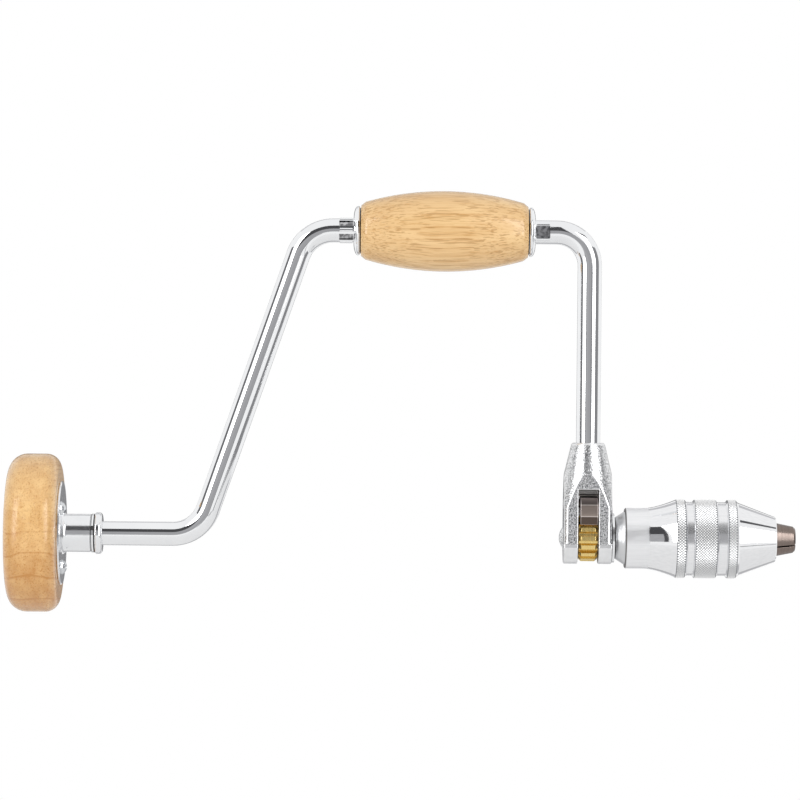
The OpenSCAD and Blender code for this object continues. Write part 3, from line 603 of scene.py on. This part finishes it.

# %% [markdown]
# ## The chuck's shell
# The shell is polished steel. Its nose and flare mirror the tent sharply, its rear is rubbed dull along
# its length by hands, the two grooves between the knurls are a little hazy, and a painted shade darkens
# the rear corner. All of these lie along X, so masks along X divide one finish.

# %% Polish the shell
REAR_FROM_MM = -72.6
REAR_FULL_MM = -74.2
SHADED_CORNER_FROM_MM = -84.4
SHADED_CORNER_FULL_MM = -84.9
GROOVES_MIDDLE_MM = -44.75
GROOVES_HALF_MM = 10.2
RUB_MM = (14, 0.8, 0.8)


def shell_finish(name):
    made, tree, skin = finish_of(name)
    place = add(tree, "ShaderNodeTexCoord")
    axes = add(tree, "ShaderNodeSeparateXYZ", {0: place.outputs["Object"]})
    rub_scale = [scale / MM for scale in per_length(RUB_MM)]
    rubbed_at = add(tree, "ShaderNodeVectorMath", {0: place.outputs["Object"], 1: rub_scale},
                    operation="MULTIPLY")
    rubbed = add(tree, "ShaderNodeTexNoise", {"Vector": rubbed_at.outputs[0], "Scale": 1.0, "Detail": 3.0})
    tint = add(tree, "ShaderNodeMix", {0: rubbed.outputs["Fac"], 6: colour("#F6F6F7"),
                                       7: colour("#E2E3E5")}, data_type="RGBA")
    # painted shade: the rear corner is painted dark grey
    corner = add(tree, "ShaderNodeMapRange", {"Value": axes.outputs["X"], "From Min": SHADED_CORNER_FROM_MM * MM,
                                              "From Max": SHADED_CORNER_FULL_MM * MM},
                 interpolation_type="SMOOTHSTEP")
    tint = add(tree, "ShaderNodeMix", {0: corner.outputs[0], 6: tint.outputs[2], 7: colour("#767473")},
               data_type="RGBA")
    tree.links.new(tint.outputs[2], skin.inputs["Base Color"])
    haze = add(tree, "ShaderNodeMapRange", {"Value": rubbed.outputs["Fac"], "From Min": 0.3,
                                            "From Max": 0.7, "To Min": 0.32, "To Max": 0.46})
    rear = add(tree, "ShaderNodeMapRange", {"Value": axes.outputs["X"], "From Min": REAR_FROM_MM * MM,
                                            "From Max": REAR_FULL_MM * MM},
               interpolation_type="SMOOTHSTEP")
    groove = add(tree, "ShaderNodeMath", {0: axes.outputs["X"], 1: GROOVES_MIDDLE_MM * MM,
                                          2: GROOVES_HALF_MM * MM}, operation="COMPARE")
    gloss = add(tree, "ShaderNodeMix", {0: rear.outputs[0], 2: 0.05, 3: haze.outputs[0]})
    gloss = add(tree, "ShaderNodeMix", {0: groove.outputs[0], 2: gloss.outputs[0], 3: 0.2})
    tree.links.new(gloss.outputs[0], skin.inputs["Roughness"])
    skin.inputs["Metallic"].default_value = 1.0
    return made


# polished steel: white with sharp dark shapes on nose and flare, pale streaks behind, and a painted shade
# on the rear corner
polished = shell_finish("polished_steel")
print("shell:", polished.name)

# %% [markdown]
# ## The pawl
# The pawl is blackened steel whose faces were ground at different angles. Their tones are painted
# light and shade: painted shade on the foot, the upper face and the hub under the slot's roof, and a
# painted highlight where two faces meet. The highlights could be bevels, but they would be too narrow
# to show. The faces lie one above another, and a ramp along Z gives each its painted tone.

# %% Blacken the pawl
PAWL_TOP_MM = 25
# painted shade on the foot, on the upper face from 16.8 mm and on the hub from 20.4 mm; painted highlights
# from 10.7 and 16.4 mm
PAWL_FOOT_SHADE = "#5C504A"
PAWL_PAINTED_TONES = ((10.7, "#D8CEC8"), (11.1, "#A5978F"), (16.4, "#D8CEC8"), (16.8, "#716865"),
              (20.4, "#3A3634"))


def pawl_finish(name):
    made, tree, skin = finish_of(name)
    place = add(tree, "ShaderNodeTexCoord")
    axes = add(tree, "ShaderNodeSeparateXYZ", {0: place.outputs["Object"]})
    zones = add(tree, "ShaderNodeMapRange", {"Value": axes.outputs["Z"], "From Max": PAWL_TOP_MM * MM})
    bands = add(tree, "ShaderNodeValToRGB", {0: zones.outputs[0]})
    ramp = bands.color_ramp
    ramp.interpolation = "CONSTANT"
    ramp.elements.remove(ramp.elements[1])
    ramp.elements[0].color = colour(PAWL_FOOT_SHADE)
    for height_mm, shade in PAWL_PAINTED_TONES:
        ramp.elements.new(height_mm / PAWL_TOP_MM).color = colour(shade)
    tree.links.new(bands.outputs[0], skin.inputs["Base Color"])
    skin.inputs["Roughness"].default_value = 0.3
    skin.inputs["Metallic"].default_value = 1.0
    return made


# ground and blackened steel: flat, brownish greys, painted with shade and highlights by height
pawl_steel = pawl_finish("oxide_pawl_painted_light_and_shade")
print("pawl tones:", len(PAWL_PAINTED_TONES) + 1)

# %% [markdown]
# ## The slot in the casting
# The fork is a plated casting with a slot for wheel and pawl. The walls of the slot are painted darker,
# a painted shade. Three limits find them: across the slot, in from the cheeks, and below its top.

# %% Find the slot's walls
SLOT_MM = -103.65
SLOT_HALF_MM = 5.2
SLOT_DEPTH_MM = 11.3
SLOT_TOP_MM = 24.6


def slot_wall_shade(tree, axes, away):
    between = add(tree, "ShaderNodeMath", {0: axes.outputs["X"], 1: SLOT_MM * MM, 2: SLOT_HALF_MM * MM},
                  operation="COMPARE")
    inside = add(tree, "ShaderNodeMath", {0: away, 1: SLOT_DEPTH_MM * MM}, operation="LESS_THAN")
    below = add(tree, "ShaderNodeMath", {0: axes.outputs["Z"], 1: SLOT_TOP_MM * MM}, operation="LESS_THAN")
    slot = add(tree, "ShaderNodeMath", {0: between.outputs[0], 1: inside.outputs[0]}, operation="MULTIPLY")
    slot = add(tree, "ShaderNodeMath", {0: slot.outputs[0], 1: below.outputs[0]}, operation="MULTIPLY")
    return slot.outputs[0]


print("slot at", SLOT_MM, "mm")

# %% [markdown]
# ## The casting's skin
# Sand left a grain of pits on all but the foot, which was ground smooth, and the flat cheeks show it
# most. Bump alone would vanish in the bright reflections, so the pits are painted grey as well, a
# painted shade. The real grain is under half a millimetre wide, and is drawn as coarse as it needs to be
# to show. The rounded edges are the same plate, rubbed bright, so one function makes both.

# %% Cast the fork
GRAIN_MM = 0.75
GRAIN_DEPTH_MM = 0.3
LUMP_MM = 4
FOOT_TOP_MM = (-4.0, -2.0)
CHEEK_MM = (11.93, 11.98)
PITS_OFF_CHEEK = 0.75


def cast(name, worn):
    made, tree, skin = finish_of(name)
    place = add(tree, "ShaderNodeTexCoord").outputs["Object"]
    axes = add(tree, "ShaderNodeSeparateXYZ", {0: place})
    grains = add(tree, "ShaderNodeTexNoise", {"Vector": place, "Scale": 1 / (GRAIN_MM * MM), "Detail": 2.0,
                                              "Roughness": 0.7})
    lumps = add(tree, "ShaderNodeTexNoise", {"Vector": place, "Scale": 1 / (LUMP_MM * MM), "Detail": 2.0})
    upper = add(tree, "ShaderNodeMapRange", {"Value": axes.outputs["Z"], "From Min": FOOT_TOP_MM[0] * MM,
                                             "From Max": FOOT_TOP_MM[1] * MM},
                interpolation_type="SMOOTHSTEP")
    away = add(tree, "ShaderNodeMath", {0: axes.outputs["Y"]}, operation="ABSOLUTE")
    flat = add(tree, "ShaderNodeMapRange", {"Value": away.outputs[0], "From Min": CHEEK_MM[0] * MM,
                                            "From Max": CHEEK_MM[1] * MM, "To Min": PITS_OFF_CHEEK})
    coarse = add(tree, "ShaderNodeMath", {0: upper.outputs[0], 1: flat.outputs[0]}, operation="MULTIPLY")
    height = add(tree, "ShaderNodeMath", {0: grains.outputs["Fac"], 1: upper.outputs[0]},
                 operation="MULTIPLY")
    relief = add(tree, "ShaderNodeBump", {"Height": height.outputs[0], "Strength": 0.65 * (1.0 - worn),
                                          "Distance": GRAIN_DEPTH_MM * MM})
    tree.links.new(relief.outputs[0], skin.inputs["Normal"])

    # painted shade: the pits are painted grey
    pit = add(tree, "ShaderNodeMapRange", {"Value": grains.outputs["Fac"], "From Min": 0.52,
                                           "From Max": 0.4, "To Max": 1.0 - worn},
              interpolation_type="SMOOTHSTEP")
    shade = add(tree, "ShaderNodeMath", {0: pit.outputs[0], 1: coarse.outputs[0]}, operation="MULTIPLY")
    wiped = add(tree, "ShaderNodeMix", {0: lumps.outputs["Fac"], 6: colour("#F2F2F3"),
                                        7: colour("#DCDDDE")}, data_type="RGBA")
    tint = add(tree, "ShaderNodeMix", {0: shade.outputs[0], 6: wiped.outputs[2], 7: colour("#808284")},
               data_type="RGBA")
    # painted shade: the slot's walls are painted darker
    slot = slot_wall_shade(tree, axes, away.outputs[0])
    tint = add(tree, "ShaderNodeMix", {0: slot, 6: tint.outputs[2], 7: colour("#8A8886")},
               data_type="RGBA")
    tree.links.new(tint.outputs[2], skin.inputs["Base Color"])
    haze = add(tree, "ShaderNodeMapRange", {"Value": upper.outputs[0], "To Min": 0.34,
                                            "To Max": 0.2 + 0.1 * worn})
    tree.links.new(haze.outputs[0], skin.inputs["Roughness"])
    skin.inputs["Metallic"].default_value = 1.0
    return made


# plated casting: pale grey and sparkling, with dark specks of painted shade in its pits
casting = cast("plated_iron_casting", worn=0.0)
# the same plate on a rubbed edge: a clean white line
edge_bright = cast("plated_edge_rubbed_bright", worn=1.0)
print("cast:", casting.name, edge_bright.name)

# %% [markdown]
# ## Dress the CAD nodes
# A CAD node's shape is right, so it stays and only gets a finish. Cast, sawn or filed pieces also get
# rounded edges, and some of these have a finish of their own on them: the casting's edges are rubbed
# bright by handling, the pawl's are worn pale with a painted highlight, and the washer's seams get a
# thin painted shade. The rounding could be modelled in CAD, but it is too small to matter there.

# %% Choose a finish for each node
finishes = {
    "head_knob": head_wood, "hand_grip": grip_wood,
    "crank_frame": rod_chrome, "head_plate": neck_chrome, "thrust_collar": neck_chrome,
    "grip_cap_head": capped, "grip_cap_chuck": capped, "race_washer": chrome,
    "ratchet_body": casting, "spindle_screw": casting,
    "chuck_shell": polished, "spindle": satin, "spindle_washer": neck_chrome,
    "pawl": pawl_steel, "jaw_upper": oxide, "jaw_lower": oxide, "pawl_pin": oxide,
    "ratchet_wheel": brass, "neck_bush": brass,
}
rounded_mm = {
    "ratchet_body": (0.5, edge_bright), "pawl": (0.25, worn_edge_and_highlight), "jaw_upper": (0.25, None),
    "jaw_lower": (0.25, None), "ratchet_wheel": (0.12, None), "race_washer": (0.3, seam_shade_line),
}
print("finishes chosen:", len(finishes), "and zinc for the rest")

# %% [markdown]
# ### Smooth faces and true edges
# A CAD node comes as separate faces, so its shading breaks at every seam. A Weld modifier joins the
# seams, and Edge Split keeps only the true edges sharp. Where a Bevel rounds the edges, faces that lie
# flat together are joined before it, so that it meets only real edges. Weighted normals after it keep
# the large faces flat.

# %% Soften the edges
SEAM_GAP = 0.002 * MM
FLAT_DEG = 0.5
EDGE_DEG = 32
CASTING_EDGE_DEG = 18
SHARP_DEG = 33
SHELL_SHARP_DEG = 15
NARROW_CORNERS = ("ratchet_body", "pawl")


def round_edges(node, width_mm, edge_finish):
    flat = node.modifiers.new("join_flats", "DECIMATE")
    flat.decimate_type = "DISSOLVE"
    flat.angle_limit = math.radians(FLAT_DEG)
    soft = node.modifiers.new("round_edges", "BEVEL")
    soft.width = width_mm * MM
    soft.segments = 3
    soft.limit_method = "ANGLE"
    soft.angle_limit = math.radians(CASTING_EDGE_DEG if node.name == "ratchet_body" else EDGE_DEG)
    soft.use_clamp_overlap = node.name not in NARROW_CORNERS
    if edge_finish:
        node.data.materials.append(edge_finish)
        soft.material = 1
    closed = node.modifiers.new("close_corners", "WELD")
    closed.merge_threshold = SEAM_GAP


def dress(node, finish, rounding):
    mesh = node.data
    mesh.materials.clear()
    mesh.materials.append(finish)
    mesh.polygons.foreach_set("use_smooth", [True] * len(mesh.polygons))
    mesh.polygons.foreach_set("material_index", [0] * len(mesh.polygons))
    if "custom_normal" in mesh.attributes:
        mesh.attributes.remove(mesh.attributes["custom_normal"])
    seams = node.modifiers.new("join_seams", "WELD")
    seams.merge_threshold = SEAM_GAP
    if rounding:
        round_edges(node, *rounding)
    split = node.modifiers.new("keep_edges", "EDGE_SPLIT")
    split.split_angle = math.radians(SHELL_SHARP_DEG if node.name == "chuck_shell" else SHARP_DEG)
    split.use_edge_sharp = False
    if rounding:
        lead = node.modifiers.new("large_faces_lead", "WEIGHTED_NORMAL")
        lead.weight = 100


for name, node in nodes.items():
    dress(node, finishes.get(name, zinc), rounded_mm.get(name))
print("dressed", len(nodes), "nodes, rounded", len(rounded_mm))

# %% [markdown]
# ## Knurl: its finish
# Three bands of the chuck shell carry a diamond knurl for the fingers. A painted shade darkens its
# grooves, and a painted highlight brightens its points, so the finish reads the height above the grooves
# from the distance to the main axis.

# %% Make the knurl's finish
KNURL_PITCH_MM = 1.4
KNURL_RISE_MM = 0.4
BAND_RADIUS_MM = 19.35
SLEEVE_GAP_MM = 0.02
KNURL_LOW_MM = BAND_RADIUS_MM + SLEEVE_GAP_MM
HIGHLIGHT_FROM = 0.6


def knurled(name):
    made, tree, skin = finish_of(name)
    place = add(tree, "ShaderNodeTexCoord")
    across = add(tree, "ShaderNodeVectorMath", {0: place.outputs["Object"], 1: (0.0, 1.0, 1.0)},
                 operation="MULTIPLY")
    radius = add(tree, "ShaderNodeVectorMath", {0: across.outputs[0]}, operation="LENGTH")
    highlight_mm = KNURL_LOW_MM + HIGHLIGHT_FROM * KNURL_RISE_MM
    lift = add(tree, "ShaderNodeMapRange", {"Value": radius.outputs["Value"], "From Min": KNURL_LOW_MM * MM,
                                            "From Max": highlight_mm * MM})
    # painted shade in the grooves and painted highlight on the points
    tint = add(tree, "ShaderNodeMix", {0: lift.outputs[0], 6: colour("#828487"), 7: colour("#FAFAFA")},
               data_type="RGBA")
    tree.links.new(tint.outputs[2], skin.inputs["Base Color"])
    skin.inputs["Roughness"].default_value = 0.42
    skin.inputs["Metallic"].default_value = 1.0
    return made


# rolled steel: white points of painted highlight in a grey net of painted shade
diamonds = knurled("knurled_steel_painted_shade")
print("knurl:", KNURL_PITCH_MM, "mm pitch")

# %% [markdown]
# ## Knurl: its diamonds
# A bump could draw the knurl, but its outline and the exported mesh would stay smooth. Each band is a
# sleeve around the CAD band instead: a closed profile is spun about the main axis, every second point
# of its outer skin is lifted, and the faces are joined along the low points, which leaves small
# pyramids between crossing grooves.

# %% Knurl the bands
SLEEVE_WALL_MM = 0.4
CHAMFER_MM = 0.5
BANDS_MM = (("knurl_front", -34.75, -29.25), ("knurl_middle", -51.25, -39.25),
            ("knurl_back", -60.5, -54.75))


def knurled_band(name, x_low, x_high):
    rows = 2 * round((x_high - x_low) / KNURL_PITCH_MM)
    around = 2 * round(2 * math.pi * BAND_RADIUS_MM / KNURL_PITCH_MM)
    low = KNURL_LOW_MM * MM
    inner = low - SLEEVE_WALL_MM * MM
    work = bmesh.new()
    corners = [work.verts.new((x * MM, 0, r)) for x, r in
               ((x_low, inner), (x_low, low), (x_high, low), (x_high, inner))]
    rim = [work.edges.new((corners[i], corners[(i + 1) % 4])) for i in range(4)]
    bmesh.ops.subdivide_edges(work, edges=[rim[1]], cuts=rows - 1)
    bmesh.ops.spin(work, geom=work.verts[:] + work.edges[:], cent=(0, 0, 0), axis=(1, 0, 0),
                   angle=2 * math.pi, steps=around, use_merge=True)
    step = (x_high - x_low) * MM / rows
    valleys = []
    for v in work.verts:
        radius = math.hypot(v.co.y, v.co.z)
        if radius < (low + inner) / 2:
            continue
        row = round((v.co.x - x_low * MM) / step)
        turn = round(math.atan2(v.co.y, v.co.z) / (2 * math.pi) * around)
        if (row + turn) % 2:
            valleys.append(v)
        elif 0 < row < rows:
            lift = (radius + KNURL_RISE_MM * MM) / radius
            v.co.y *= lift
            v.co.z *= lift
    bmesh.ops.connect_verts(work, verts=valleys)
    bmesh.ops.recalc_face_normals(work, faces=work.faces)
    made = object_of(work, name, diamonds)
    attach(made, "shell")
    print(name, "faces:", len(made.data.polygons))


for name, x_low, x_high in BANDS_MM:
    knurled_band(name, x_low + CHAMFER_MM, x_high - CHAMFER_MM)

# %% [markdown]
# ## Springs made again
# Two springs work inside the tool: one presses the plunger on the pawl, and one parts the jaws. Each
# coil is made again here, by spinning a small circle that rises as it turns.

# %% Wind the plunger's spring
WIRE_SIDES = 8
STEPS_PER_TURN = 14


def coil(name, mean_mm, wire_mm, turns, length_mm, pose):
    work = bmesh.new()
    bmesh.ops.create_circle(work, segments=WIRE_SIDES, radius=wire_mm * MM)
    upright = Matrix.Rotation(math.radians(90), 3, "X")
    bmesh.ops.rotate(work, cent=(0, 0, 0), matrix=upright, verts=work.verts)
    bmesh.ops.translate(work, vec=(mean_mm * MM, 0, wire_mm * MM), verts=work.verts)
    steps = STEPS_PER_TURN * turns
    rise = (length_mm - 2 * wire_mm) * MM / steps
    bmesh.ops.spin(work, geom=work.verts[:] + work.edges[:], cent=(0, 0, 0), axis=(0, 0, 1),
                   dvec=(0, 0, rise), angle=2 * math.pi * turns, steps=steps)
    bmesh.ops.holes_fill(work, edges=[e for e in work.edges if e.is_boundary])
    bmesh.ops.recalc_face_normals(work, faces=work.faces)
    for face in work.faces:
        face.smooth = len(face.verts) == 4
    bmesh.ops.transform(work, matrix=pose, verts=work.verts)
    made = object_of(work, name, zinc)
    print(name, "faces:", len(made.data.polygons))
    return made


foot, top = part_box("detent_spring")
middle = (foot + top) / 2
seat = Vector((middle.x, middle.y, foot.z))
detent = coil("detent_coil", mean_mm=1.8, wire_mm=0.3, turns=4, length_mm=(top.z - foot.z) / MM,
              pose=Matrix.Translation(seat))
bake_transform(detent)
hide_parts("detent_spring")

# %% [markdown]
# ### The jaws' spring
# This spring has a jaw at either end, and a blend has only two bodies, so it is made as two halves that
# meet on the main axis. Each half starts a degree past the meeting place, which keeps the two just
# clear of each other.

# %% Wind the jaws' spring
JAW_TURN_DEG = 27
JAW_COIL_MM = 4.35
JAW_WIRE_MM = 0.35

foot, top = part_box("jaw_spring")
middle = Vector(((foot.x + top.x) / 2, 0, 0))
apart = Matrix.Translation((0, 0, -JAW_WIRE_MM * MM)) @ Matrix.Rotation(math.radians(1), 4, "Z")
for jaw, turn in (("jaw_upper", JAW_TURN_DEG), ("jaw_lower", JAW_TURN_DEG + 180)):
    across = Matrix.Translation(middle) @ Matrix.Rotation(math.radians(turn), 4, "X")
    half = coil(jaw + "_coil", mean_mm=2.0, wire_mm=JAW_WIRE_MM, turns=3,
                length_mm=JAW_COIL_MM + JAW_WIRE_MM, pose=across @ apart)
    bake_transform(half)
    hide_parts("jaw_spring")

# %% [markdown]
# ## Grease above the pawl
# The pawl's hub turns close under the roof of its slot, and grease fills the gap, so that no daylight
# shows through the fork. Grease is smooth and slightly wet to the eye, and no metal, so its shader
# keeps a plain base with an oil's index of refraction. It is modelled as two small rounded beads under
# the roof, in front of the plunger and behind.

# %% Pack the gap
SMEAR_MM = 1.5
OIL_IOR = 1.48
SLOT_ROOF_MM = 21.52
BEAD_LOW_MM = 20.85
BEAD_LONG_MM = 10.1
BEAD_DEEP_MM = 0.8
BEAD_AWAY_MM = 3.0
BEAD_ROUND_MM = 0.15


def greased(name, pale_hex, deep_hex):
    made, tree, skin = finish_of(name)
    place = add(tree, "ShaderNodeTexCoord")
    smear = add(tree, "ShaderNodeTexNoise", {"Vector": place.outputs["Object"],
                                             "Scale": 1 / (SMEAR_MM * MM), "Detail": 2.0})
    tint = add(tree, "ShaderNodeMix", {0: smear.outputs["Fac"], 6: colour(pale_hex), 7: colour(deep_hex)},
               data_type="RGBA")
    tree.links.new(tint.outputs[2], skin.inputs["Base Color"])
    haze = add(tree, "ShaderNodeMapRange", {"Value": smear.outputs["Fac"], "From Min": 0.3, "From Max": 0.7,
                                            "To Min": 0.3, "To Max": 0.45})
    tree.links.new(haze.outputs[0], skin.inputs["Roughness"])
    skin.inputs["IOR"].default_value = OIL_IOR
    return made


# bearing grease: pale grey in the light, and dark in the shade of the slot
grease_film = greased("grey_bearing_grease", "#CFC9C4", "#B8B2AD")
work = bmesh.new()
for side in (-1, 1):
    bead = bmesh.ops.create_cube(work, size=1.0)["verts"]
    size = Vector((BEAD_LONG_MM, BEAD_DEEP_MM, SLOT_ROOF_MM - BEAD_LOW_MM)) * MM
    bmesh.ops.scale(work, vec=size, verts=bead)
    place = Vector((SLOT_MM, side * BEAD_AWAY_MM, (SLOT_ROOF_MM + BEAD_LOW_MM) / 2)) * MM
    bmesh.ops.translate(work, vec=place, verts=bead)
bmesh.ops.bevel(work, geom=work.edges[:], offset=BEAD_ROUND_MM * MM, offset_type="OFFSET", affect="EDGES",
                segments=2, profile=0.5, material=-1)
grease = object_of(work, "pawl_grease", grease_film)
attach(grease, "crank")
print("grease faces:", len(grease.data.polygons))
